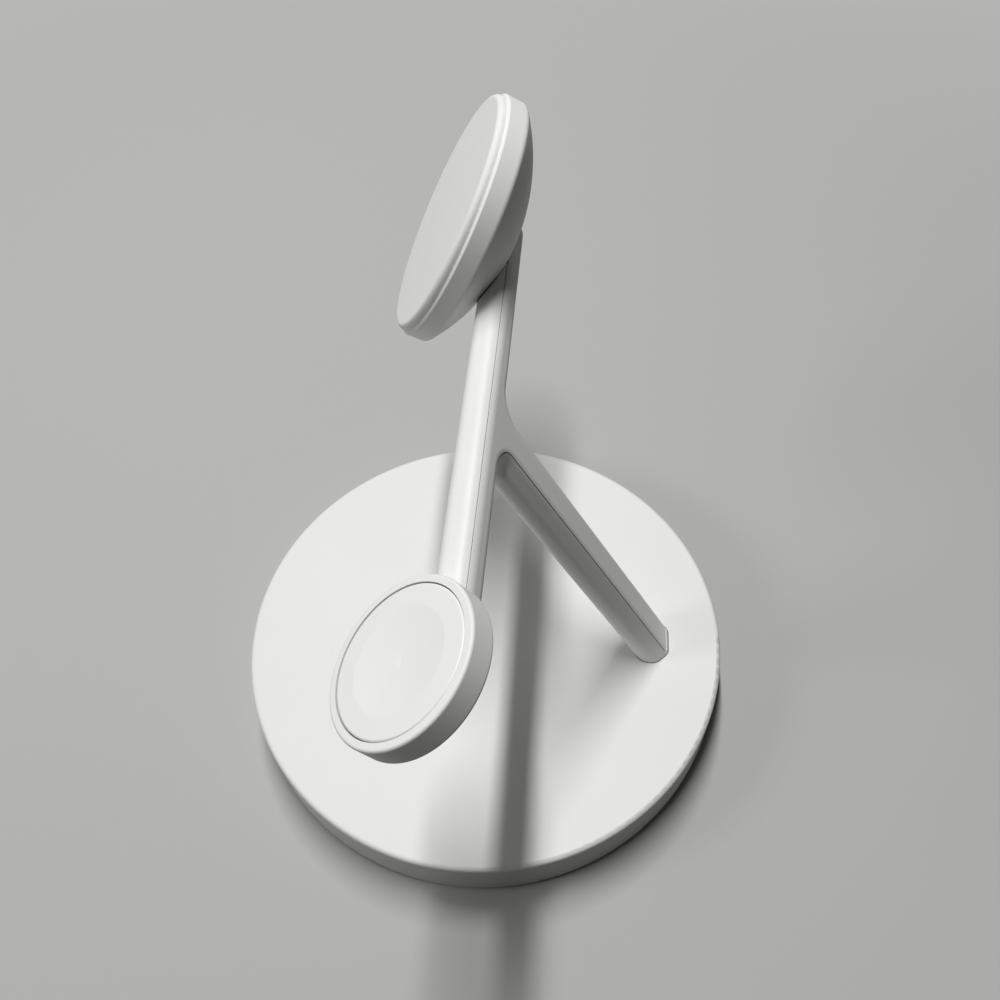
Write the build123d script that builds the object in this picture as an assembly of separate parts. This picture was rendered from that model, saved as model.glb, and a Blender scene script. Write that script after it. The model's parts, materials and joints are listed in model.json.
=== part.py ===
from build123d import *
import os
from math import cos, radians, sin, tan

# Three in one wireless charger: round base, leaning leg with a cross-bar, phone head and watch head.
# Millimetres, +Z up. The origin is the middle of the foot pad's underside, -Y is the front and +X is the
# watch's side. The leg and the bar lie in one leaning plane: its x runs along the bar, its y runs up the leg
# from the point where the leg's back meets the base, and its z runs forwards from the back face.
# Each head has a plane of its own with z out of its charging face, so what lies behind the face has negative z.

# Base shell
BASE_DIAMETER = 130.0
BASE_HEIGHT = 16.0
BASE_WALL = 2.6
BASE_TOP = 2.4
BASE_TOP_ROUND = 1.2
BASE_LOWER_ROUND = 0.8
BOTTOM_PLATE = 2.6
PLATE_GAP = 0.12
FOOT_INSET = 7.0
FOOT_PROUD = 0.8
FOOT_SEAT = 0.8
FOOT_ROUND = 0.4
BALLAST_INSET = 20.0
BALLAST_THICKNESS = 3.2

# Base screws
BOSS_COUNT = 5
BOSS_INSET = 11.0
BOSS_RADIUS = 3.0
BASE_SCREW_RADIUS = 1.25
BASE_SCREW_GRIP = 6.0
SCREW_HEAD_RADIUS = 2.2
SCREW_HEAD_HEIGHT = 1.0
LEG_SCREW_SPACING = 7.4
LEG_SCREW_GRIP = 3.5
LEG_SCREW_EDGE = 1.8

# Base electronics
BOARD_WIDTH = 11.4
BOARD_SWEEP = 56.0
BOARD_THICKNESS = 1.2
BOARD_WALL_GAP = 0.5
BOARD_LEG_GAP = 1.0
POST_HEIGHT = 2.8
POST_RADIUS = 1.6
POST_ANGLES = (-22.0, -11.0, 11.0, 22.0)
INLET_WIDTH = 8.94
INLET_HEIGHT = 3.26
INLET_LENGTH = 7.3
INLET_WALL = 0.3
INLET_BACK = 1.5
INLET_RECESS = 0.6
INLET_GAP = 0.15
TONGUE_WIDTH = 6.7
TONGUE_THICKNESS = 0.7
TONGUE_RECESS = 0.6
EARBUD_CENTRE_Y = -10.0
EARBUD_COIL_OUTER_RADIUS = 22.0
EARBUD_COIL_INNER_RADIUS = 10.0
EARBUD_COIL_THICKNESS = 1.4
EARBUD_FERRITE_RADIUS = 25.0
EARBUD_FERRITE_THICKNESS = 0.8

# Stand
LEAN = 26.0
LEG_INSET = 14.3
LEG_REACH = 100.5
LEG_WIDTH = 13.4
BAR_HEIGHT = 8.1
HEAD_REACH = 56.6
BAR_OVERHANG = 2.5
FRAME_DEPTH = 8.0
CROTCH_RADIUS = 4.5
FRONT_ROUND = 3.35
LEG_FACET = 3.0
BAR_FACET = 2.0
FACET_CROTCH_RADIUS = 7.0
FACET_MARGIN = 1.0
BACK_ROUND = 3.0
CREASE_ROUND = 2.6
LEG_GAP = 0.15
COVER_LEG_WIDTH = 7.2
COVER_BAR_HEIGHT = 5.0
COVER_CROTCH_RADIUS = 5.6
COVER_THICKNESS = 1.5
COVER_GAP = 0.22
COVER_FOOT = 1.7
COVER_FOOT_GAP = 0.6

# Leads in the stand's channel
LEAD_RADIUS = 1.0
LEAD_SPACING = 2.5
LEAD_BEND = 3.0
LEAD_GAP = 0.15
LEAD_TAIL = 1.6
LEAD_STUB = 0.8

# Phone head
PHONE_TILT = 61.5
PHONE_STANDOFF = 15.93
PHONE_DROP = -0.37
PHONE_PLATE_RADIUS = 28.4
PHONE_PLATE = 1.85
PHONE_PLATE_ROUND = 1.3
PHONE_RADIUS = 29.1
PHONE_RIM_CHAMFER = 0.4
PHONE_WALL = 4.75
PHONE_DOME = 10.7
PHONE_CORNER_ROUND = 1.2
PHONE_BAY_RADIUS = 27.2
PHONE_WELL_RADIUS = 23.5
PHONE_WELL = 3.5
MAGNET_COUNT = 18
MAGNET_WIDTH = 4.2
MAGNET_THICKNESS = 2.2
MAGNET_SPACING = 0.5
MAGNET_GAP = 0.2
YOKE_THICKNESS = 0.6
PHONE_COIL_OUTER_RADIUS = 21.6
PHONE_COIL_INNER_RADIUS = 9.0
PHONE_COIL_THICKNESS = 1.4
PHONE_FERRITE_RADIUS = 22.2
PHONE_FERRITE_THICKNESS = 0.8
PHONE_BOARD_RADIUS = 20.5
PHONE_BOARD_THICKNESS = 1.0
PHONE_POST_COUNT = 3
PHONE_POST_CIRCLE_RADIUS = 17.0
PHONE_POST_RADIUS = 1.8
PHONE_POST_HEIGHT = 2.0
PHONE_SCREW_X = (1.0, 11.0)
PHONE_LEAD_X = 6.0

# Watch head
WATCH_TILT = 35.7
WATCH_STANDOFF = 10.37
WATCH_DROP = 1.74
WATCH_PLATE_RADIUS = 13.95
WATCH_PLATE = 1.4
WATCH_PLATE_ROUND = 0.5
WATCH_PLATE_GAP = 0.15
WATCH_DISH_RADIUS = 9.9
WATCH_DISH_DEPTH = 0.7
WATCH_RADIUS = 15.7
WATCH_RIM_ROUND = 0.6
WATCH_WALL = 5.2
WATCH_DOME = 5.2
WATCH_CORNER_ROUND = 0.8
WATCH_WELL_RADIUS = 12.4
WATCH_WELL = 2.9
WATCH_COIL_RADIUS = 11.6
WATCH_COIL_THICKNESS = 1.0
WATCH_FERRITE_THICKNESS = 0.6
WATCH_MAGNET_RADIUS = 5.0
WATCH_MAGNET_GAP = 0.3
WATCH_SCREW_X = (-1.0, -9.5)
WATCH_LEAD_X = -5.2

# Screws that hold both heads on the bar
HEAD_SCREW_RADIUS = 1.0
HEAD_SCREW_CAP_RADIUS = 1.8
HEAD_SCREW_CAP_HEIGHT = 1.0
HEAD_SCREW_GRIP = 1.0
HEAD_SCREW_OFFSET = 1.7

# Levels and positions that follow from the sizes
BASE_RADIUS = BASE_DIAMETER / 2
BASE_INNER_RADIUS = BASE_RADIUS - BASE_WALL
FOOT_RADIUS = BASE_RADIUS - FOOT_INSET
BALLAST_RADIUS = BASE_RADIUS - BALLAST_INSET
BOSS_CIRCLE_RADIUS = BASE_RADIUS - BOSS_INSET
FOOT_BACK_Y = BASE_RADIUS - LEG_INSET
CEILING = BASE_HEIGHT - BASE_TOP
FOOT_HIGH = FOOT_PROUD + FOOT_SEAT
PLATE_HIGH = FOOT_PROUD + BOTTOM_PLATE
BOARD_LOW = PLATE_HIGH + POST_HEIGHT
BOARD_HIGH = BOARD_LOW + BOARD_THICKNESS
BOARD_OUTER_RADIUS = BASE_INNER_RADIUS - BOARD_WALL_GAP
BOARD_INNER_RADIUS = BOARD_OUTER_RADIUS - BOARD_WIDTH
INLET_Z = BOARD_HIGH + INLET_HEIGHT / 2
INLET_MOUTH_Y = BASE_RADIUS - INLET_RECESS
EARBUD_COIL_LOW = CEILING - EARBUD_COIL_THICKNESS
LEAN_SIN = sin(radians(LEAN))
LEAN_COS = cos(radians(LEAN))
LEG_LOW = -(BASE_HEIGHT + FRAME_DEPTH) / LEAN_COS
FRONT_FILLET = min(FRONT_ROUND, 0.46 * BAR_HEIGHT)
FACET_REACH = max(LEG_FACET, BAR_FACET) + FACET_MARGIN
LEAD_ROOM = LEAD_RADIUS + LEAD_GAP
LEAD_DEPTH = COVER_THICKNESS + LEAD_ROOM
LEAD_LOW = (BOARD_HIGH + LEAD_ROOM - BASE_HEIGHT - LEAN_SIN * BOARD_LEG_GAP) / LEAN_COS
LEG_FRONT_Y = FOOT_BACK_Y + ((BASE_HEIGHT - PLATE_HIGH) * LEAN_SIN - FRAME_DEPTH) / LEAN_COS
PHONE_BACK = PHONE_PLATE + MAGNET_THICKNESS + YOKE_THICKNESS
PHONE_FLOOR = PHONE_BACK + PHONE_WELL
MAGNET_OUTER_RADIUS = PHONE_BAY_RADIUS - MAGNET_GAP
MAGNET_INNER_RADIUS = MAGNET_OUTER_RADIUS - MAGNET_WIDTH
WATCH_FLOOR = WATCH_PLATE + WATCH_WELL
WATCH_COIL_INNER_RADIUS = WATCH_MAGNET_RADIUS + WATCH_MAGNET_GAP
FROM_LOW = (Align.CENTER, Align.CENTER, Align.MIN)
FROM_HIGH = (Align.CENTER, Align.CENTER, Align.MAX)
STAND = Plane((0, FOOT_BACK_Y, BASE_HEIGHT), x_dir=(1, 0, 0), z_dir=(0, -LEAN_COS, -LEAN_SIN))


def head_plane(side, tilt, standoff, drop):
    """Plane of a charging face that stands off from the bar's axis."""
    facing = Vector(0, -sin(radians(tilt)), cos(radians(tilt)))
    upward = Vector(0, cos(radians(tilt)), sin(radians(tilt)))
    axis_point = STAND.from_local_coords(Vector(side * HEAD_REACH, LEG_REACH, FRAME_DEPTH / 2))
    return Plane(axis_point + facing * standoff - upward * drop, x_dir=(1, 0, 0), z_dir=facing)


PHONE = head_plane(-1, PHONE_TILT, PHONE_STANDOFF, PHONE_DROP)
WATCH = head_plane(1, WATCH_TILT, WATCH_STANDOFF, WATCH_DROP)


def disc(radius, low, high):
    """Upright cylinder between two levels."""
    return Pos(0, 0, low) * Cylinder(radius, high - low, align=FROM_LOW)


def ring(outer, inner, low, high):
    """Upright tube between two levels."""
    return disc(outer, low, high) - disc(inner, low, high)


def ring_slice(outer, inner, low, high, heading, half_angle):
    """The part of an upright tube that lies within an angle of a heading."""
    reach = 2 * outer
    side = reach * tan(radians(half_angle))
    wedge = make_face(Polyline((0, 0), (reach, -side), (reach, side), close=True))
    return ring(outer, inner, low, high) & Pos(0, 0, low) * Rot(0, 0, heading) * extrude(wedge, high - low)


def circle_edges(body, radius, level):
    """Round edges of one radius at one level."""
    rims = body.edges().filter_by(GeomType.CIRCLE)
    return [e for e in rims if abs(e.radius - radius) < 1e-4 and abs(e.arc_center.Z - level) < 1e-4]


def screw(cap_radius, cap_height, shank_radius, shank_length):
    """Pan-head screw that stands on its head."""
    body = disc(cap_radius, 0, cap_height) + disc(shank_radius, cap_height, cap_height + shank_length)
    return chamfer(circle_edges(body, cap_radius, 0), cap_height / 4)


def t_outline(leg_width, bar_height, crotch_radius, low):
    """Outline of a leg and a bar, from one height on the leg upwards."""
    crotch = LEG_REACH - bar_height / 2
    leg = Pos(0, (low + LEG_REACH) / 2) * Rectangle(leg_width, LEG_REACH - low)
    bar = Pos(0, LEG_REACH) * SlotCenterToCenter(2 * (HEAD_REACH + BAR_OVERHANG), bar_height)
    outline = leg + bar
    inner = [v for v in outline.vertices() if abs(abs(v.X) - leg_width / 2) + abs(v.Y - crotch) < 1e-3]
    return fillet(inner, crotch_radius)


def cover_block(gap, low):
    """Straight block of the back cover's outline with a gap all round, from one height on the leg upwards."""
    leg_width = COVER_LEG_WIDTH + 2 * gap
    bar_height = COVER_BAR_HEIGHT + 2 * gap
    outline = t_outline(leg_width, bar_height, COVER_CROTCH_RADIUS - gap, low)
    return STAND.location * extrude(outline, COVER_THICKNESS)


def outline_edges(body, low, high):
    """Outline edges between two depths of the stand, without the straight end of the leg."""
    edges = [e for e in body.edges() if low - 1e-4 < e.center().Z < high + 1e-4]
    return [e for e in edges if e.center().Y > LEG_LOW + 1e-3]


def facet_outline(depth):
    """Outline at one depth of the facets, which run out at 45 degrees from the flat of the back."""
    leg_width = LEG_WIDTH - 2 * LEG_FACET + 2 * depth
    bar_height = BAR_HEIGHT - 2 * BAR_FACET + 2 * depth
    return Pos(0, 0, depth) * t_outline(leg_width, bar_height, FACET_CROTCH_RADIUS - depth, LEG_LOW)


def stand_envelope():
    """Outer form of the leg and the bar, round in front and faceted behind, cut level on the bottom plate."""
    body = extrude(t_outline(LEG_WIDTH, BAR_HEIGHT, CROTCH_RADIUS, LEG_LOW), FRAME_DEPTH)
    body = fillet(outline_edges(body, FRAME_DEPTH, FRAME_DEPTH), FRONT_FILLET)
    facets = loft([facet_outline(0).face(), facet_outline(FACET_REACH).face()], ruled=True)
    body &= facets + extrude(facet_outline(FACET_REACH), FRAME_DEPTH)
    body = fillet(outline_edges(body, 0, 0), BACK_ROUND)
    body = fillet(outline_edges(body, BAR_FACET, LEG_FACET), CREASE_ROUND)
    under = Box(BASE_DIAMETER, BASE_DIAMETER, BASE_DIAMETER, align=FROM_HIGH)
    return STAND.location * body - Pos(0, FOOT_BACK_Y, PLATE_HIGH) * under


def leg_bar(gap):
    """Straight bar of the leg's section with a gap all round, for the holes that the leg passes through."""
    section = Pos(0, FRAME_DEPTH / 2) * Rectangle(LEG_WIDTH, FRAME_DEPTH)
    section = fillet(section.vertices().group_by(Axis.Y)[-1], FRONT_FILLET)
    section = chamfer(section.vertices().group_by(Axis.Y)[0], LEG_FACET)
    section = fillet(section.vertices().group_by(Axis.Y)[1], CREASE_ROUND)
    section = fillet(section.vertices().group_by(Axis.Y)[0], BACK_ROUND)
    return STAND.location * extrude(Plane.XZ * offset(section, gap), -LEG_LOW, both=True)


def lead_route(side, head, head_x, floor):
    """Points of a lead: out of the leg in the base, up the leg, along the bar and into a head."""
    leg_x = side * LEAD_SPACING / 2
    turn = STAND.from_local_coords(Vector(side * HEAD_REACH + head_x, LEG_REACH, LEAD_DEPTH))
    rise = LEAD_STUB - floor - head.to_local_coords(turn).Z
    start = STAND.from_local_coords(Vector(leg_x, LEAD_LOW, -LEAD_TAIL))
    heel = STAND.from_local_coords(Vector(leg_x, LEAD_LOW, LEAD_DEPTH))
    fork = STAND.from_local_coords(Vector(leg_x, LEG_REACH, LEAD_DEPTH))
    return [start, heel, fork, turn, turn + head.z_dir * rise]


def lead_tube(route, radius):
    """Round tube along a lead's points."""
    path = FilletPolyline(*route, radius=LEAD_BEND)
    return sweep(Plane(path @ 0, z_dir=path % 0) * Circle(radius), path)


PHONE_ROUTE = lead_route(-1, PHONE, PHONE_LEAD_X, PHONE_FLOOR)
WATCH_ROUTE = lead_route(1, WATCH, WATCH_LEAD_X, WATCH_FLOOR)


def lead_channel():
    """Channel behind the back cover, with its mouth in the base."""
    low = LEAD_LOW - LEAD_ROOM
    mouth_high = LEAD_LOW + LEAD_BEND + LEAD_ROOM
    leg_width = LEAD_SPACING + 2 * LEAD_ROOM
    left = -HEAD_REACH + PHONE_LEAD_X - LEAD_ROOM
    right = HEAD_REACH + WATCH_LEAD_X + LEAD_ROOM
    leg = Pos(0, (low + LEG_REACH) / 2) * Rectangle(leg_width, LEG_REACH - low)
    bar = Pos((left + right) / 2, LEG_REACH) * Rectangle(right - left, 2 * LEAD_ROOM)
    mouth = Pos(0, (low + mouth_high) / 2) * Rectangle(leg_width, mouth_high - low)
    run = extrude(leg + bar, 2 * LEAD_ROOM)
    return STAND.location * (Pos(0, 0, COVER_THICKNESS) * run + extrude(mouth, COVER_THICKNESS))


def head_screws(head, places, standoff, drop, floor):
    """Screws from a head's floor into the bar, beside the lead channel."""
    shank = standoff - floor + HEAD_SCREW_GRIP
    one = screw(HEAD_SCREW_CAP_RADIUS, HEAD_SCREW_CAP_HEIGHT, HEAD_SCREW_RADIUS, shank)
    top = HEAD_SCREW_CAP_HEIGHT - floor
    return [head.location * Pos(x, drop - HEAD_SCREW_OFFSET, top) * Rot(180, 0, 0) * one for x in places]


def phone_screws():
    """Screws of the phone head."""
    return head_screws(PHONE, PHONE_SCREW_X, PHONE_STANDOFF, PHONE_DROP, PHONE_FLOOR)


def watch_screws():
    """Screws of the watch head."""
    return head_screws(WATCH, WATCH_SCREW_X, WATCH_STANDOFF, WATCH_DROP, WATCH_FLOOR)


def boss_places():
    """Places of the base screws, with the leg between two of them."""
    return PolarLocations(BOSS_CIRCLE_RADIUS, BOSS_COUNT, start_angle=-90)


def bottom_screw(grip):
    """Screw up through the bottom plate."""
    shank = PLATE_HIGH - FOOT_HIGH - SCREW_HEAD_HEIGHT + grip
    return Pos(0, 0, FOOT_HIGH) * screw(SCREW_HEAD_RADIUS, SCREW_HEAD_HEIGHT, BASE_SCREW_RADIUS, shank)


def base_screws():
    """Screws into the bosses of the base cover."""
    return [place * bottom_screw(BASE_SCREW_GRIP) for place in boss_places()]


def leg_screws():
    """Screws into the foot of the leg."""
    y = LEG_FRONT_Y + LEG_SCREW_EDGE
    return [Pos(side * LEG_SCREW_SPACING / 2, y) * bottom_screw(LEG_SCREW_GRIP) for side in (-1, 1)]


def stand_frame(envelope):
    """Leg and bar in one moulding, with the cover's pocket, the lead channel and screw holes."""
    body = envelope - cover_block(COVER_GAP, COVER_FOOT - COVER_FOOT_GAP) - lead_channel()
    for route in (PHONE_ROUTE, WATCH_ROUTE):
        body -= lead_tube(route, LEAD_ROOM)
    for driven in phone_screws() + watch_screws() + leg_screws():
        body -= driven
    return body


def stand_back_cover(envelope):
    """Strip let into the back of the stand, crowned like the stand itself."""
    return cover_block(0, COVER_FOOT) & envelope


def inlet_bar(margin, near, far):
    """Round-ended bar of the inlet's section between two distances from its mouth, inwards."""
    section = Plane.XZ * SlotOverall(INLET_WIDTH + 2 * margin, INLET_HEIGHT + 2 * margin)
    return Pos(0, INLET_MOUTH_Y - near, INLET_Z) * extrude(section, far - near)


def base_cover():
    """Round shell of the base with its bosses, the leg's hole and the inlet's opening."""
    body = disc(BASE_RADIUS, FOOT_PROUD, BASE_HEIGHT)
    body = fillet(circle_edges(body, BASE_RADIUS, BASE_HEIGHT), BASE_TOP_ROUND)
    body = fillet(circle_edges(body, BASE_RADIUS, FOOT_PROUD), BASE_LOWER_ROUND)
    body -= disc(BASE_INNER_RADIUS, FOOT_PROUD, CEILING)
    for place in boss_places():
        body += place * disc(BOSS_RADIUS, PLATE_HIGH, CEILING)
    for driven in base_screws():
        body -= driven
    return body - leg_bar(LEG_GAP) - inlet_bar(INLET_GAP, -2 * INLET_RECESS, INLET_LENGTH)


def base_bottom_plate():
    """Floor of the base with the foot pad's recess, the board's posts and screw holes."""
    body = disc(BASE_INNER_RADIUS - PLATE_GAP, FOOT_PROUD, PLATE_HIGH)
    body -= disc(FOOT_RADIUS + PLATE_GAP, FOOT_PROUD, FOOT_HIGH)
    post_circle = (BOARD_INNER_RADIUS + BOARD_OUTER_RADIUS) / 2
    for angle in POST_ANGLES:
        body += Rot(0, 0, angle) * Pos(0, post_circle) * disc(POST_RADIUS, PLATE_HIGH, BOARD_LOW)
    for driven in base_screws() + leg_screws():
        body -= driven
    return body


def foot_pad():
    """Soft pad that the charger stands on, over the screw heads."""
    body = disc(FOOT_RADIUS, 0, FOOT_HIGH)
    return fillet(circle_edges(body, FOOT_RADIUS, 0), FOOT_ROUND)


def ballast_plate():
    """Steel disc that keeps the charger from tipping, cut away round the leg."""
    return disc(BALLAST_RADIUS, PLATE_HIGH, PLATE_HIGH + BALLAST_THICKNESS) - leg_bar(BOARD_LEG_GAP)


def base_circuit_board():
    """Board behind and beside the leg."""
    half = BOARD_SWEEP / 2
    body = ring_slice(BOARD_OUTER_RADIUS, BOARD_INNER_RADIUS, BOARD_LOW, BOARD_HIGH, 90, half)
    return body - leg_bar(BOARD_LEG_GAP)


def power_inlet():
    """Socket shell with its tongue."""
    depth = INLET_LENGTH - INLET_BACK
    body = inlet_bar(0, 0, INLET_LENGTH) - inlet_bar(-INLET_WALL, 0, depth)
    tongue = Box(TONGUE_WIDTH, depth - TONGUE_RECESS, TONGUE_THICKNESS)
    return body + Pos(0, INLET_MOUTH_Y - (TONGUE_RECESS + depth) / 2, INLET_Z) * tongue


def earbud_coil():
    """Winding under the base's top, where the earbud case lies."""
    body = ring(EARBUD_COIL_OUTER_RADIUS, EARBUD_COIL_INNER_RADIUS, EARBUD_COIL_LOW, CEILING)
    return Pos(0, EARBUD_CENTRE_Y) * body


def earbud_ferrite():
    """Shield under that winding."""
    low = EARBUD_COIL_LOW - EARBUD_FERRITE_THICKNESS
    return Pos(0, EARBUD_CENTRE_Y) * disc(EARBUD_FERRITE_RADIUS, low, EARBUD_COIL_LOW)


def domed_body(radius, front, wall, dome, corner):
    """Round housing with a straight wall and a ball-shaped back, rounded where the two meet."""
    edge = front - wall
    ball = (radius**2 + dome**2) / (2 * dome)
    cap = Pos(0, 0, edge - dome + ball) * Sphere(ball) & disc(radius, edge - dome, edge)
    body = disc(radius, edge, front) + cap
    return fillet(circle_edges(body, radius, edge), corner)


def phone_head_shell(envelope):
    """Housing of the phone head, open in front, with a saddle for the bar in its domed back."""
    body = domed_body(PHONE_RADIUS, -PHONE_PLATE, PHONE_WALL, PHONE_DOME, PHONE_CORNER_ROUND)
    body = chamfer(circle_edges(body, PHONE_RADIUS, -PHONE_PLATE), PHONE_RIM_CHAMFER)
    body -= disc(PHONE_BAY_RADIUS, -PHONE_BACK, -PHONE_PLATE)
    body -= disc(PHONE_WELL_RADIUS, -PHONE_FLOOR, -PHONE_BACK)
    for place in PolarLocations(PHONE_POST_CIRCLE_RADIUS, PHONE_POST_COUNT, start_angle=90):
        body += place * disc(PHONE_POST_RADIUS, -PHONE_FLOOR, PHONE_POST_HEIGHT - PHONE_FLOOR)
    body = PHONE.location * body - envelope - lead_tube(PHONE_ROUTE, LEAD_ROOM)
    for driven in phone_screws():
        body -= driven
    return body


def phone_head_plate():
    """Charging face of the phone head."""
    body = disc(PHONE_PLATE_RADIUS, -PHONE_PLATE, 0)
    return PHONE.location * fillet(circle_edges(body, PHONE_PLATE_RADIUS, 0), PHONE_PLATE_ROUND)


def phone_magnets():
    """Ring of magnets behind the phone plate."""
    half = 180 / MAGNET_COUNT
    low = -PHONE_PLATE - MAGNET_THICKNESS
    body = ring_slice(MAGNET_OUTER_RADIUS, MAGNET_INNER_RADIUS, low, -PHONE_PLATE, 0, half)
    slot = Box(2 * MAGNET_OUTER_RADIUS, MAGNET_SPACING, MAGNET_THICKNESS, align=FROM_LOW)
    for side in (-half, half):
        body -= Rot(0, 0, side) * Pos(0, 0, low) * slot
    return [PHONE.location * place * body for place in PolarLocations(0, MAGNET_COUNT)]


def phone_yoke_ring():
    """Steel ring behind the magnets."""
    high = YOKE_THICKNESS - PHONE_BACK
    return PHONE.location * ring(MAGNET_OUTER_RADIUS, MAGNET_INNER_RADIUS, -PHONE_BACK, high)


def phone_coil():
    """Winding behind the phone plate."""
    low = -PHONE_PLATE - PHONE_COIL_THICKNESS
    return PHONE.location * ring(PHONE_COIL_OUTER_RADIUS, PHONE_COIL_INNER_RADIUS, low, -PHONE_PLATE)


def phone_ferrite():
    """Shield behind that winding."""
    high = -PHONE_PLATE - PHONE_COIL_THICKNESS
    return PHONE.location * disc(PHONE_FERRITE_RADIUS, high - PHONE_FERRITE_THICKNESS, high)


def phone_circuit_board():
    """Board on the posts of the phone head."""
    low = PHONE_POST_HEIGHT - PHONE_FLOOR
    return PHONE.location * disc(PHONE_BOARD_RADIUS, low, low + PHONE_BOARD_THICKNESS)


def watch_head_shell(envelope):
    """Housing of the watch head, with a rounded rim and a saddle for the bar in its domed back."""
    body = domed_body(WATCH_RADIUS, 0, WATCH_WALL, WATCH_DOME, WATCH_CORNER_ROUND)
    body = fillet(circle_edges(body, WATCH_RADIUS, 0), WATCH_RIM_ROUND)
    body -= disc(WATCH_PLATE_RADIUS + WATCH_PLATE_GAP, -WATCH_PLATE, 0)
    body -= disc(WATCH_WELL_RADIUS, -WATCH_FLOOR, -WATCH_PLATE)
    body = WATCH.location * body - envelope - lead_tube(WATCH_ROUTE, LEAD_ROOM)
    for driven in watch_screws():
        body -= driven
    return body


def watch_plate():
    """Charging face of the watch head, dished for the watch's back."""
    body = disc(WATCH_PLATE_RADIUS, -WATCH_PLATE, 0)
    body = fillet(circle_edges(body, WATCH_PLATE_RADIUS, 0), WATCH_PLATE_ROUND)
    ball = (WATCH_DISH_RADIUS**2 + WATCH_DISH_DEPTH**2) / (2 * WATCH_DISH_DEPTH)
    return WATCH.location * (body - Pos(0, 0, ball - WATCH_DISH_DEPTH) * Sphere(ball))


def watch_magnet():
    """Magnet in the middle of the watch's winding."""
    low = -WATCH_PLATE - WATCH_COIL_THICKNESS - WATCH_FERRITE_THICKNESS
    return WATCH.location * disc(WATCH_MAGNET_RADIUS, low, -WATCH_PLATE)


def watch_coil():
    """Winding behind the watch plate."""
    low = -WATCH_PLATE - WATCH_COIL_THICKNESS
    return WATCH.location * ring(WATCH_COIL_RADIUS, WATCH_COIL_INNER_RADIUS, low, -WATCH_PLATE)


def watch_ferrite():
    """Shield behind that winding."""
    high = -WATCH_PLATE - WATCH_COIL_THICKNESS
    low = high - WATCH_FERRITE_THICKNESS
    return WATCH.location * ring(WATCH_COIL_RADIUS, WATCH_COIL_INNER_RADIUS, low, high)


envelope = stand_envelope()
pieces = {
    "base_cover": base_cover(),
    "base_bottom_plate": base_bottom_plate(),
    "foot_pad": foot_pad(),
    "ballast_plate": ballast_plate(),
    "base_circuit_board": base_circuit_board(),
    "power_inlet": power_inlet(),
    "earbud_coil": earbud_coil(),
    "earbud_ferrite": earbud_ferrite(),
    "base_screws": Compound(base_screws()),
    "leg_screws": Compound(leg_screws()),
    "stand_frame": stand_frame(envelope),
    "stand_back_cover": stand_back_cover(envelope),
    "phone_lead": lead_tube(PHONE_ROUTE, LEAD_RADIUS),
    "watch_lead": lead_tube(WATCH_ROUTE, LEAD_RADIUS),
    "phone_head_shell": phone_head_shell(envelope),
    "phone_head_plate": phone_head_plate(),
    "phone_magnets": Compound(phone_magnets()),
    "phone_yoke_ring": phone_yoke_ring(),
    "phone_coil": phone_coil(),
    "phone_ferrite": phone_ferrite(),
    "phone_circuit_board": phone_circuit_board(),
    "phone_head_screws": Compound(phone_screws()),
    "watch_head_shell": watch_head_shell(envelope),
    "watch_plate": watch_plate(),
    "watch_magnet": watch_magnet(),
    "watch_coil": watch_coil(),
    "watch_ferrite": watch_ferrite(),
    "watch_head_screws": Compound(watch_screws()),
}
os.makedirs("parts", exist_ok=True)
for name, piece in pieces.items():
    export_step(piece, f"parts/{name}.step")
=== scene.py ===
"""Looks of a three in one wireless charger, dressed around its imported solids.

The charger is one rigid body: a round weighted base, a leaning leg with a cross-bar, a round phone head
on one end of the bar and a smaller watch head on the other. Lengths are metres in the part's own frame
with +Z up. Sizes that are written in millimetres are multiplied by MM.
"""

import json
import logging
import math
from dataclasses import dataclass
from enum import Enum
from typing import Any, Mapping, Optional

import bpy
from mathutils import Euler, Matrix, Vector

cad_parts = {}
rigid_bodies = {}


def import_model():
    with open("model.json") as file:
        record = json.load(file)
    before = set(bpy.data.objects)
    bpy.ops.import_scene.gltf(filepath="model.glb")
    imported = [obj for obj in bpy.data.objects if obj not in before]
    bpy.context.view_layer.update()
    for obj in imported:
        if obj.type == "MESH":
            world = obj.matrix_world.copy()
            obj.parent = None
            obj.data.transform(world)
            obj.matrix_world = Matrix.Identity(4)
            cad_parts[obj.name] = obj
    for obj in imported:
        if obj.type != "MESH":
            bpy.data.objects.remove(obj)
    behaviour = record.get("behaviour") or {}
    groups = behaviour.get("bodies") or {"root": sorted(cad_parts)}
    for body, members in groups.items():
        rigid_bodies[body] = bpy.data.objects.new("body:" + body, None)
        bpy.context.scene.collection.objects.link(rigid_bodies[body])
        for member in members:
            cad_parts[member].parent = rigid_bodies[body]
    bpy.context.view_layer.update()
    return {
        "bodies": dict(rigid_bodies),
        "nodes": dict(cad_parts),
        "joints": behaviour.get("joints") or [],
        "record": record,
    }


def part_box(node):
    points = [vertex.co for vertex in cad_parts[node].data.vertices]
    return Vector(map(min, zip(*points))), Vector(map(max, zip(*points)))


MM = 0.001
BODY = "root"
LOG = logging.getLogger("charger")
# How fine the layers of each noise are.
MOTTLE_DETAIL = 3.0
GRAIN_DETAIL = 2.0
GRAIN_ROUGHNESS = 0.6
SCRATCH_DETAIL = 4.0
# A ring wave at a scale of 1 repeats at this length.
WAVE_PERIOD = 2 * math.pi / 20


def linear(code: str) -> tuple[float, float, float, float]:
    """Turns an sRGB hex colour into the linear colour that shaders use.

    Args:
        code: Colour such as "#F1F2F0".

    Returns:
        Red, green, blue and an alpha of 1.
    """
    parts = [int(code[i : i + 2], 16) / 255 for i in (1, 3, 5)]
    red, green, blue = [p / 12.92 if p <= 0.04045 else ((p + 0.055) / 1.055) ** 2.4 for p in parts]
    return red, green, blue, 1.0


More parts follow.
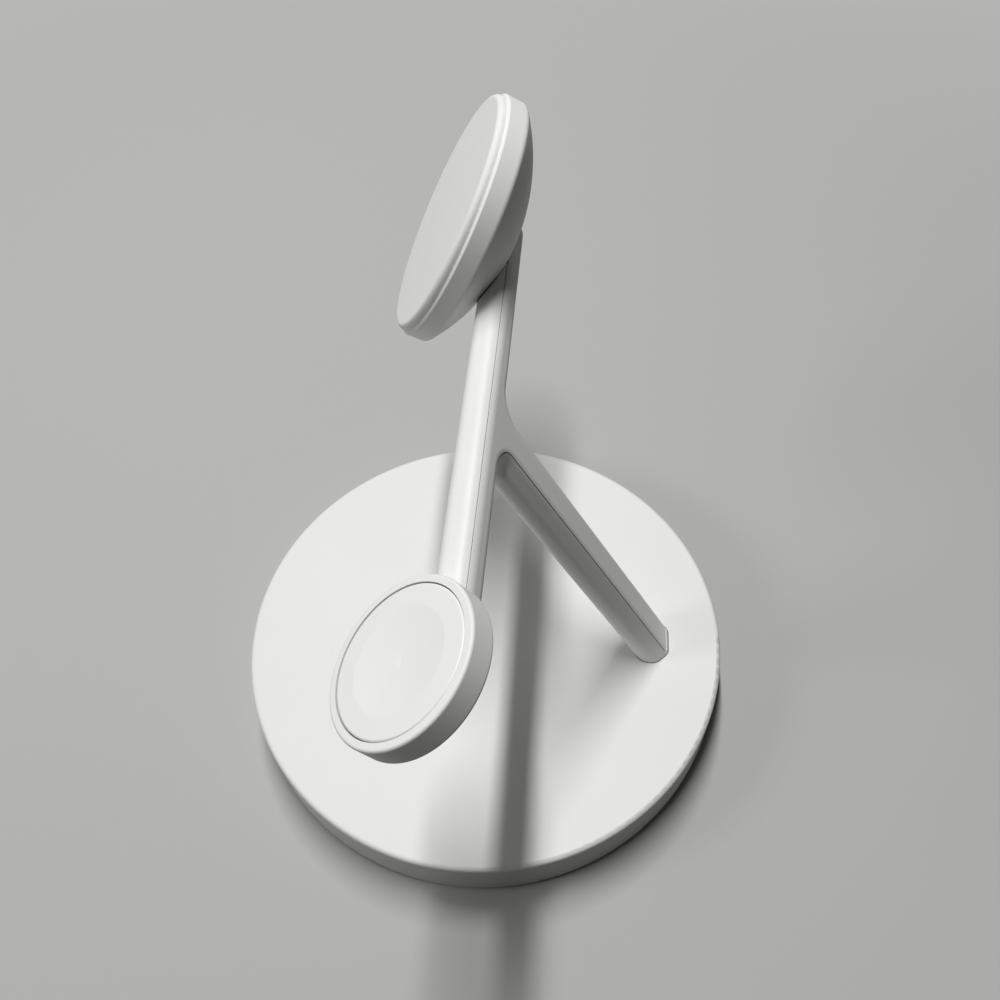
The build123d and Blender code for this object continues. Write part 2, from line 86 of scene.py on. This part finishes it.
def per_metre(size_mm: float) -> float:
    """Gives the texture scale at which one feature is this many millimetres wide."""
    return 1 / (size_mm * MM)


def add_node(
    tree: bpy.types.NodeTree,
    kind: str,
    inputs: Optional[Mapping[Any, Any]] = None,
    **settings: Any,
) -> bpy.types.Node:
    """Adds a shader node with its settings, values and links.

    Args:
        tree: Node tree that gets the node.
        kind: Blender's type name for the node.
        inputs: A value, or an output socket to link from, for each input by name or place.
        **settings: Attributes of the node itself.

    Returns:
        The new node.
    """
    node = tree.nodes.new(kind)
    for name, value in settings.items():
        setattr(node, name, value)
    for key, value in (inputs or {}).items():
        if isinstance(value, bpy.types.NodeSocket):
            tree.links.new(value, node.inputs[key])
        else:
            node.inputs[key].default_value = value
    return node


def background_rays(tree: bpy.types.NodeTree) -> bpy.types.NodeSocket:
    """Tells the rays that show a background from those that light the object.

    Args:
        tree: Node tree of the world or of a stage piece.

    Returns:
        A socket that is 1 for camera, mirrored and transmitted rays and 0 for the rest.
    """
    path = add_node(tree, "ShaderNodeLightPath")
    mirrored = add_node(
        tree,
        "ShaderNodeMath",
        {0: path.outputs["Is Camera Ray"], 1: path.outputs["Is Glossy Ray"]},
        operation="MAXIMUM",
    )
    seen = add_node(
        tree,
        "ShaderNodeMath",
        {0: mirrored.outputs["Value"], 1: path.outputs["Is Transmission Ray"]},
        operation="MAXIMUM",
    )
    return seen.outputs["Value"]


class MouldTexture(Enum):
    """How the mould's steel was finished: width of the grain in millimetres and its height."""

    SPARK_ERODED = (0.55, 0.022)
    FINE_BLASTED = (0.42, 0.018)
    SATIN = (0.34, 0.010)

    @property
    def grain_mm(self) -> float:
        """Width of one grain as it is drawn, in millimetres."""
        return self.value[0]

    @property
    def height_mm(self) -> float:
        """Height of one grain, in millimetres."""
        return self.value[1]


@dataclass(frozen=True)
class Surface:
    """What every finish has: its name, its colours and how it reflects."""

    name: str
    colour: str
    roughness: float

    def start(self) -> tuple[bpy.types.Material, bpy.types.NodeTree, bpy.types.Node]:
        """Makes an empty material with its shader.

        Returns:
            The material, its node tree and its Principled shader.
        """
        material = bpy.data.materials.new(self.name)
        material.use_nodes = True
        tree = material.node_tree
        tree.nodes.clear()
        shader = add_node(tree, "ShaderNodeBsdfPrincipled", {"Roughness": self.roughness})
        add_node(tree, "ShaderNodeOutputMaterial", {"Surface": shader.outputs["BSDF"]})
        material.diffuse_color = linear(self.colour)
        return material, tree, shader


@dataclass(frozen=True)
class MouldedPlastic(Surface):
    """White polycarbonate, injection moulded: matte, with the mould's fine grain and a faint uneven tone.

    Painted shade darkens the seams and inner corners. A point is drawn darker the less of its surroundings
    is open, and is clear of it where seam_clear of them is open.
    """

    tone: str
    texture: MouldTexture
    mottle_mm: float = 26.0
    roughness_swing: float = 0.06
    ior: float = 1.58
    # Colour of the painted shade in seams and inner corners.
    seam_shade_colour: str = "#CFCFCC"
    seam_mm: float = 0.6
    seam_dark: float = 0.25
    seam_clear: float = 0.70
    seam_samples: int = 8

    def make(self) -> bpy.types.Material:
        """Builds the material."""
        material, tree, shader = self.start()
        place = add_node(tree, "ShaderNodeTexCoord").outputs["Object"]
        mottle = add_node(
            tree,
            "ShaderNodeTexNoise",
            {"Vector": place, "Scale": per_metre(self.mottle_mm), "Detail": MOTTLE_DETAIL},
        )
        colour = add_node(
            tree,
            "ShaderNodeMix",
            {"Factor": mottle.outputs["Fac"], "A": linear(self.colour), "B": linear(self.tone)},
            data_type="RGBA",
        )
        # Painted shade: what lies deep in a gap between two mouldings, or in an inner corner, is drawn
        # darker.
        seam = add_node(
            tree,
            "ShaderNodeAmbientOcclusion",
            {"Distance": self.seam_mm * MM},
            samples=self.seam_samples,
        )
        open_air = add_node(
            tree,
            "ShaderNodeMapRange",
            {"Value": seam.outputs["AO"], "From Min": self.seam_dark, "From Max": self.seam_clear},
        )
        seam_shaded = add_node(
            tree,
            "ShaderNodeMix",
            {"Factor": open_air.outputs["Result"], "A": linear(self.seam_shade_colour), "B": colour.outputs["Result"]},
            data_type="RGBA",
        )
        # The real grain is about a tenth of a millimetre, too fine to show.
        # It is drawn a few times coarser.
        grain = add_node(
            tree,
            "ShaderNodeTexNoise",
            {
                "Vector": place,
                "Scale": per_metre(self.texture.grain_mm),
                "Detail": GRAIN_DETAIL,
                "Roughness": GRAIN_ROUGHNESS,
            },
        )
        shine = add_node(
            tree,
            "ShaderNodeMapRange",
            {
                "Value": grain.outputs["Fac"],
                "To Min": self.roughness - self.roughness_swing,
                "To Max": self.roughness + self.roughness_swing,
            },
        )
        bump = add_node(
            tree,
            "ShaderNodeBump",
            {"Height": grain.outputs["Fac"], "Strength": 1.0, "Distance": self.texture.height_mm * MM},
        )
        tree.links.new(seam_shaded.outputs["Result"], shader.inputs["Base Color"])
        tree.links.new(shine.outputs["Result"], shader.inputs["Roughness"])
        tree.links.new(bump.outputs["Normal"], shader.inputs["Normal"])
        shader.inputs["IOR"].default_value = self.ior
        return material


@dataclass(frozen=True)
class SoftSilicone(Surface):
    """Moulded silicone: dull and slightly velvety, with fine pits that soften every highlight."""

    tone: str
    pit_mm: float
    pit_depth_mm: float
    sheen: float
    ior: float = 1.43

    def make(self) -> bpy.types.Material:
        """Builds the material."""
        material, tree, shader = self.start()
        place = add_node(tree, "ShaderNodeTexCoord").outputs["Object"]
        pits = add_node(
            tree,
            "ShaderNodeTexVoronoi",
            {"Vector": place, "Scale": per_metre(self.pit_mm)},
            feature="SMOOTH_F1",
        )
        colour = add_node(
            tree,
            "ShaderNodeMix",
            {"Factor": pits.outputs["Distance"], "A": linear(self.colour), "B": linear(self.tone)},
            data_type="RGBA",
        )
        bump = add_node(
            tree,
            "ShaderNodeBump",
            {"Height": pits.outputs["Distance"], "Strength": 1.0, "Distance": self.pit_depth_mm * MM},
        )
        tree.links.new(colour.outputs["Result"], shader.inputs["Base Color"])
        tree.links.new(bump.outputs["Normal"], shader.inputs["Normal"])
        shader.inputs["IOR"].default_value = self.ior
        shader.inputs["Sheen Weight"].default_value = self.sheen
        return material


@dataclass(frozen=True)
class PlatedMetal(Surface):
    """Plated steel: a bright metal whose fine scratches spread its highlights."""

    tone: str
    scratch_mm: float
    stretch: float
    roughness_swing: float = 0.3

    def make(self) -> bpy.types.Material:
        """Builds the material."""
        material, tree, shader = self.start()
        place = add_node(tree, "ShaderNodeTexCoord").outputs["Object"]
        along = add_node(tree, "ShaderNodeMapping", {"Vector": place, "Scale": (1.0, self.stretch, 1.0)})
        scratch = add_node(
            tree,
            "ShaderNodeTexNoise",
            {
                "Vector": along.outputs["Vector"],
                "Scale": per_metre(self.scratch_mm),
                "Detail": SCRATCH_DETAIL,
            },
        )
        colour = add_node(
            tree,
            "ShaderNodeMix",
            {"Factor": scratch.outputs["Fac"], "A": linear(self.colour), "B": linear(self.tone)},
            data_type="RGBA",
        )
        shine = add_node(
            tree,
            "ShaderNodeMapRange",
            {
                "Value": scratch.outputs["Fac"],
                "To Min": (1 - self.roughness_swing) * self.roughness,
                "To Max": (1 + self.roughness_swing) * self.roughness,
            },
        )
        tree.links.new(colour.outputs["Result"], shader.inputs["Base Color"])
        tree.links.new(shine.outputs["Result"], shader.inputs["Roughness"])
        shader.inputs["Metallic"].default_value = 1.0
        return material


@dataclass(frozen=True)
class WoundCopper(Surface):
    """Enamelled copper wire wound flat: warm metal in rings, dark where two turns meet."""

    gap: str
    turn_mm: float
    centre: Vector
    turn_angles: Euler
    crown: float = 1 / 3

    def make(self) -> bpy.types.Material:
        """Builds the material, with its rings round the winding's own axis."""
        material, tree, shader = self.start()
        place = add_node(tree, "ShaderNodeTexCoord").outputs["Object"]
        flat = add_node(
            tree,
            "ShaderNodeMapping",
            {"Vector": place, "Location": self.centre, "Rotation": self.turn_angles},
            vector_type="TEXTURE",
        )
        turns = add_node(
            tree,
            "ShaderNodeTexWave",
            {"Vector": flat.outputs["Vector"], "Scale": per_metre(self.turn_mm) * WAVE_PERIOD},
            wave_type="RINGS",
            rings_direction="Z",
        )
        colour = add_node(
            tree,
            "ShaderNodeMix",
            {"Factor": turns.outputs["Fac"], "A": linear(self.gap), "B": linear(self.colour)},
            data_type="RGBA",
        )
        bump = add_node(
            tree,
            "ShaderNodeBump",
            {"Height": turns.outputs["Fac"], "Strength": 1.0, "Distance": self.crown * self.turn_mm * MM},
        )
        tree.links.new(colour.outputs["Result"], shader.inputs["Base Color"])
        tree.links.new(bump.outputs["Normal"], shader.inputs["Normal"])
        shader.inputs["Metallic"].default_value = 1.0
        return material


@dataclass(frozen=True)
class Sintered(Surface):
    """Pressed and fired powder or resin board: dull, with a speckle of its grains."""

    speckle: str
    grain_mm: float
    ior: float = 1.5

    def make(self) -> bpy.types.Material:
        """Builds the material."""
        material, tree, shader = self.start()
        place = add_node(tree, "ShaderNodeTexCoord").outputs["Object"]
        grains = add_node(
            tree, "ShaderNodeTexVoronoi", {"Vector": place, "Scale": per_metre(self.grain_mm)}, feature="F1"
        )
        colour = add_node(
            tree,
            "ShaderNodeMix",
            {"Factor": grains.outputs["Distance"], "A": linear(self.colour), "B": linear(self.speckle)},
            data_type="RGBA",
        )
        tree.links.new(colour.outputs["Result"], shader.inputs["Base Color"])
        shader.inputs["IOR"].default_value = self.ior
        return material


@dataclass(frozen=True)
class BackdropPaper(Surface):
    """Uncoated backdrop paper: dull and pale to the eye.

    As a reflector it is a darker grey, so that shadows stay deep. Between the near and the far radius from
    the charger, where the lamps' light falls off, it fades to its own pale tone for the camera.
    """

    bounce: str
    fibre_mm: float
    fibre_height_mm: float
    near: float = 0.20
    far: float = 0.55
    glow: float = 0.92

    def make(self) -> bpy.types.Material:
        """Builds the material."""
        material, tree, shader = self.start()
        place = add_node(tree, "ShaderNodeTexCoord").outputs["Object"]
        seen = background_rays(tree)
        fibre = add_node(
            tree,
            "ShaderNodeTexNoise",
            {"Vector": place, "Scale": per_metre(self.fibre_mm), "Detail": MOTTLE_DETAIL},
        )
        colour = add_node(
            tree,
            "ShaderNodeMix",
            {"Factor": seen, "A": linear(self.bounce), "B": linear(self.colour)},
            data_type="RGBA",
        )
        bump = add_node(
            tree,
            "ShaderNodeBump",
            {"Height": fibre.outputs["Fac"], "Strength": 1.0, "Distance": self.fibre_height_mm * MM},
        )
        tree.links.new(colour.outputs["Result"], shader.inputs["Base Color"])
        tree.links.new(bump.outputs["Normal"], shader.inputs["Normal"])
        radius = add_node(tree, "ShaderNodeVectorMath", {0: place}, operation="LENGTH")
        away = add_node(
            tree,
            "ShaderNodeMapRange",
            {"Value": radius.outputs["Value"], "From Min": self.near, "From Max": self.far},
            interpolation_type="SMOOTHSTEP",
        )
        shown = add_node(
            tree,
            "ShaderNodeMath",
            {0: away.outputs["Result"], 1: seen},
            operation="MULTIPLY",
        )
        pale = add_node(tree, "ShaderNodeEmission", {"Color": linear(self.colour), "Strength": self.glow})
        paper = add_node(
            tree,
            "ShaderNodeMixShader",
            {0: shown.outputs["Value"], 1: shader.outputs["BSDF"], 2: pale.outputs["Emission"]},
        )
        tree.links.new(paper.outputs["Shader"], tree.get_output_node("ALL").inputs["Surface"])
        return material


# White polycarbonate from a spark-eroded mould: a matte white whose grain breaks up the light.
SHELL_WHITE = MouldedPlastic(
    "polycarbonate_spark_eroded", "#F2F3F1", 0.56, "#ECEDEA", MouldTexture.SPARK_ERODED
)
# The same plastic from a blasted mould: a finer grain on the slim stand, whose narrow seams get a
# near-black painted shade.
STAND_WHITE = MouldedPlastic(
    "polycarbonate_fine_blasted", "#F2F3F1", 0.50, "#ECEDEB", MouldTexture.FINE_BLASTED, seam_shade_colour="#1C1C1B"
)
# Satin polycarbonate on the watch plate: smooth enough for a broad soft highlight.
PLATE_WHITE = MouldedPlastic("polycarbonate_satin", "#F4F5F3", 0.42, "#EFF0EE", MouldTexture.SATIN)
# White silicone on the phone's face: duller than the shells, so that it reads a little greyer.
FACE_SILICONE = SoftSilicone("silicone_face_moulded", "#F4F5F0", 0.68, "#EDEEE9", 0.5, 0.02, 0.10)
# Grey silicone under the base: dull and dark, with visible pits.
FOOT_SILICONE = SoftSilicone("silicone_foot_moulded", "#8C8E8D", 0.75, "#7B7D7C", 0.9, 0.06, 0.05)
# Thermoplastic rubber jacket of the leads: dull white.
LEAD_JACKET = SoftSilicone("elastomer_extruded_jacket", "#E4E5E3", 0.60, "#D9DAD7", 0.4, 0.01, 0.05)
# Zinc-plated steel: cool, bright and finely scratched.
ZINC_STEEL = PlatedMetal("steel_zinc_plated", "#BDBFC0", 0.34, "#A9ABAD", 0.6, 0.15)
# Nickel plating on the magnets: smoother and slightly warmer.
NICKEL = PlatedMetal("magnet_nickel_plated", "#C9C8C4", 0.22, "#BBBAB5", 0.8, 0.6)
# Sintered ferrite: near black and dull.
FERRITE = Sintered("ferrite_sintered", "#3A3A3C", 0.62, "#48484B", 0.7)
# Solder mask over glass cloth: green, with the cloth showing through.
SOLDER_MASK = Sintered("glass_epoxy_solder_mask", "#1F5A3A", 0.40, "#2A6A47", 1.1)
# Enamelled copper wire: warm metal with dark lines between its turns.
COPPER = "#B4713F"
COPPER_GAP = "#6B3D1E"
COPPER_ROUGHNESS = 0.35
# Backdrop paper under the charger: pale and even.
STUDIO_PAPER = BackdropPaper("paper_backdrop_uncoated", "#BFC0BE", 0.90, "#5E5F5E", 0.8, 0.03)


@dataclass
class SubAssembly:
    """Some of the charger's solids and the finishes that they get."""

    frame: Mapping[str, Any]

    def dress(self, node: str, material: bpy.types.Material) -> None:
        """Gives a solid its finish.

        Args:
            node: Name of the solid.
            material: Its finish.
        """
        slots = self.frame["nodes"][node].data.materials
        slots.clear()
        slots.append(material)
        LOG.info("%s: %s", node, material.name)

    def winding(self, node: str, turn_mm: float, tilt: float) -> bpy.types.Material:
        """Makes the finish of a flat winding.

        Args:
            node: Name of the winding's solid.
            turn_mm: Width of one turn, in millimetres.
            tilt: Angle of the winding's axis from upright, in degrees, forwards.

        Returns:
            The finish, ringed round the winding's axis.
        """
        low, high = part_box(node)
        finish = WoundCopper(
            f"copper_enamelled_{node}",
            COPPER,
            COPPER_ROUGHNESS,
            COPPER_GAP,
            turn_mm,
            (low + high) / 2,
            Euler((math.radians(tilt), 0.0, 0.0)),
        )
        return finish.make()


@dataclass
class Base(SubAssembly):
    """Round weighted base with the earbud case's charging place, its board, ballast and inlet."""

    earbud_turn_mm: float = 0.9

    def build(self, white: bpy.types.Material, metal: bpy.types.Material) -> None:
        """Dresses the base.

        Args:
            white: Finish of the shells.
            metal: Finish of the steel pieces.
        """
        for node in ("base_cover", "base_bottom_plate"):
            self.dress(node, white)
        for node in ("ballast_plate", "power_inlet", "base_screws", "leg_screws"):
            self.dress(node, metal)
        self.dress("foot_pad", FOOT_SILICONE.make())
        self.dress("base_circuit_board", SOLDER_MASK.make())
        self.dress("earbud_coil", self.winding("earbud_coil", self.earbud_turn_mm, 0.0))
        self.dress("earbud_ferrite", FERRITE.make())


@dataclass
class Stand(SubAssembly):
    """Leaning leg and cross-bar in one moulding, its back cover and the two leads behind it."""

    def build(self) -> None:
        """Dresses the stand."""
        white = STAND_WHITE.make()
        jacket = LEAD_JACKET.make()
        for node in ("stand_frame", "stand_back_cover"):
            self.dress(node, white)
        for node in ("phone_lead", "watch_lead"):
            self.dress(node, jacket)


@dataclass
class PhoneHead(SubAssembly):
    """Round magnetic head for the phone."""

    tilt: float = 61.5
    turn_mm: float = 0.9

    def build(self, white: bpy.types.Material, metal: bpy.types.Material) -> None:
        """Dresses the phone head.

        Args:
            white: Finish of the shell.
            metal: Finish of the steel pieces.
        """
        self.dress("phone_head_shell", white)
        self.dress("phone_head_plate", FACE_SILICONE.make())
        self.dress("phone_magnets", NICKEL.make())
        self.dress("phone_coil", self.winding("phone_coil", self.turn_mm, self.tilt))
        self.dress("phone_ferrite", FERRITE.make())
        self.dress("phone_circuit_board", SOLDER_MASK.make())
        for node in ("phone_yoke_ring", "phone_head_screws"):
            self.dress(node, metal)


@dataclass
class WatchHead(SubAssembly):
    """Smaller round head with a dished plate for the watch."""

    tilt: float = 35.7
    turn_mm: float = 0.6

    def build(self, white: bpy.types.Material, metal: bpy.types.Material) -> None:
        """Dresses the watch head.

        Args:
            white: Finish of the shell.
            metal: Finish of the steel pieces.
        """
        self.dress("watch_head_shell", white)
        self.dress("watch_plate", PLATE_WHITE.make())
        self.dress("watch_magnet", NICKEL.make())
        self.dress("watch_coil", self.winding("watch_coil", self.turn_mm, self.tilt))
        self.dress("watch_ferrite", FERRITE.make())
        self.dress("watch_head_screws", metal)


@dataclass(frozen=True)
class SoftLamp:
    """Rectangular soft lamp that faces the charger, with its length along the bar."""

    name: str
    lean_right: float
    lean_front: float
    distance: float
    size: tuple[float, float]
    watts: float

    def hang(self, aim: Vector) -> None:
        """Hangs the lamp.

        Args:
            aim: Point that the lamp faces.
        """
        right = math.tan(math.radians(self.lean_right))
        front = math.tan(math.radians(self.lean_front))
        out = Vector((right, -front, 1.0)).normalized()
        side = Vector((0.0, 1.0, 0.0)).cross(out).normalized()
        turn = Matrix((side, out.cross(side), out)).transposed()
        data = bpy.data.lights.new(self.name, "AREA")
        data.shape = "RECTANGLE"
        data.size, data.size_y = self.size
        data.energy = self.watts
        lamp = bpy.data.objects.new(self.name, data)
        lamp.matrix_world = Matrix.Translation(aim + self.distance * out) @ turn.to_4x4()
        bpy.context.scene.collection.objects.link(lamp)
        LOG.info("%s: %.1f W", self.name, self.watts)


@dataclass
class Studio:
    """Pale floor, a long soft lamp overhead, a weak fill lamp in front, the world and the camera."""

    floor_size: float = 6.0
    world_strength: float = 0.035
    lamp_aim: Vector = Vector((0.0, 0.0, 0.06))
    lamps: tuple[SoftLamp, ...] = (
        SoftLamp("studio_tube", -13.0, 5.5, 1.03, (0.80, 0.05), 9.4),
        SoftLamp("studio_front_fill", 22.5, 60.0, 1.5, (0.50, 0.40), 4.2),
    )
    camera_aim: Vector = Vector((-0.04465, 0.00039, 0.016))
    camera_azimuth: float = 97.49
    camera_elevation: float = 54.27
    camera_roll: float = -2.99
    camera_distance: float = 0.2907
    camera_lens: float = 34.2
    camera_sensor: float = 36.0
    camera_clip: float = 0.01

    def build(self) -> None:
        """Builds the studio."""
        bpy.context.scene.view_settings.view_transform = "Standard"
        self.lay_floor()
        for lamp in self.lamps:
            lamp.hang(self.lamp_aim)
        self.fill_world()
        self.place_camera()

    def lay_floor(self) -> None:
        """Lays a pale matte floor."""
        half = self.floor_size / 2
        mesh = bpy.data.meshes.new("studio_floor")
        square = [(-half, -half, 0.0), (half, -half, 0.0), (half, half, 0.0), (-half, half, 0.0)]
        mesh.from_pydata(square, [], [(0, 1, 2, 3)])
        floor = bpy.data.objects.new("studio_floor", mesh)
        bpy.context.scene.collection.objects.link(floor)
        mesh.materials.append(STUDIO_PAPER.make())
        LOG.info("studio_floor: %.1f m", self.floor_size)

    def fill_world(self) -> None:
        """Fills the room with weak even light and shows a pale backdrop to the camera."""
        world = bpy.data.worlds.new("studio_world")
        world.use_nodes = True
        tree = world.node_tree
        tree.nodes.clear()
        strength = add_node(
            tree,
            "ShaderNodeMapRange",
            {
                "Value": background_rays(tree),
                "To Min": self.world_strength,
                "To Max": STUDIO_PAPER.glow,
            },
        )
        sky = add_node(
            tree,
            "ShaderNodeBackground",
            {"Color": linear(STUDIO_PAPER.colour), "Strength": strength.outputs["Result"]},
        )
        add_node(tree, "ShaderNodeOutputWorld", {"Surface": sky.outputs["Background"]})
        bpy.context.scene.world = world

    def place_camera(self) -> None:
        """Places the camera where the photograph was taken from."""
        azimuth = math.radians(self.camera_azimuth)
        elevation = math.radians(self.camera_elevation)
        back = Vector(
            (
                math.sin(azimuth) * math.cos(elevation),
                -math.cos(azimuth) * math.cos(elevation),
                math.sin(elevation),
            )
        )
        level = back.to_track_quat("Z", "Y").to_matrix().to_4x4()
        rolled = level @ Matrix.Rotation(math.radians(self.camera_roll), 4, "Z")
        data = bpy.data.cameras.new("photo_camera")
        data.lens = self.camera_lens
        data.sensor_width = self.camera_sensor
        data.clip_start = self.camera_clip
        camera = bpy.data.objects.new("photo_camera", data)
        camera.matrix_world = Matrix.Translation(self.camera_aim + self.camera_distance * back) @ rolled
        bpy.context.scene.collection.objects.link(camera)
        bpy.context.scene.camera = camera


def main() -> None:
    """Loads the frame, dresses each sub-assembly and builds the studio."""
    logging.basicConfig(level=logging.INFO, format="%(name)s %(message)s")
    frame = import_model()
    white = SHELL_WHITE.make()
    metal = ZINC_STEEL.make()
    Base(frame).build(white, metal)
    Stand(frame).build()
    PhoneHead(frame).build(white, metal)
    WatchHead(frame).build(white, metal)
    Studio().build()


if __name__ == "__main__":
    main()
